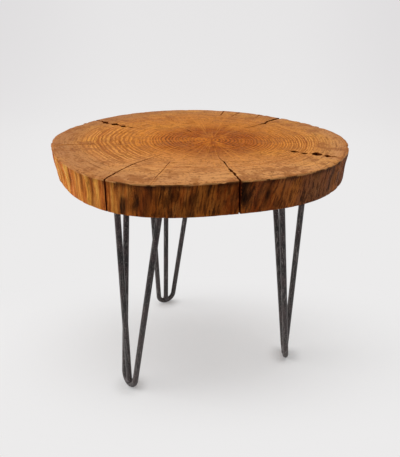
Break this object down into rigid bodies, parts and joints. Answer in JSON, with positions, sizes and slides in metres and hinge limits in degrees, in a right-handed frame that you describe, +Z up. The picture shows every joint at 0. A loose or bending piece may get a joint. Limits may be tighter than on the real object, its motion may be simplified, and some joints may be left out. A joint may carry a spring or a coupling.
{
  "type": "log slice side table",
  "caption": "Low round table made of one thick log slice with drying cracks, on three-rod steel hairpin legs.",
  "frame": {"origin": "on the floor, under the middle of the slice's bounding box", "axes": "+Z up; the front of the table faces -Y, with +X to the right as seen from the front"},
  "size_m": [0.5305, 0.5228, 0.4564],
  "materials": {
    "end_grain_wood": "satin",
    "raw_steel": "satin",
    "weld_metal": "satin",
    "screw_steel": "satin"
  },
  "bodies": {
    "root": {"trunk_slice_top": "end_grain_wood", "mounting_plate_front_left": "raw_steel", "hairpin_rod_front_left": "raw_steel", "brace_rod_front_left": "raw_steel", "plate_welds_front_left": "weld_metal", "foot_weld_front_left": "weld_metal", "plate_screws_front_left": "screw_steel", "mounting_plate_right": "raw_steel", "hairpin_rod_right": "raw_steel", "brace_rod_right": "raw_steel", "plate_welds_right": "weld_metal", "foot_weld_right": "weld_metal", "plate_screws_right": "screw_steel", "mounting_plate_back": "raw_steel", "hairpin_rod_back": "raw_steel", "brace_rod_back": "raw_steel", "plate_welds_back": "weld_metal", "foot_weld_back": "weld_metal", "plate_screws_back": "screw_steel"}
  },
  "joints": []
}
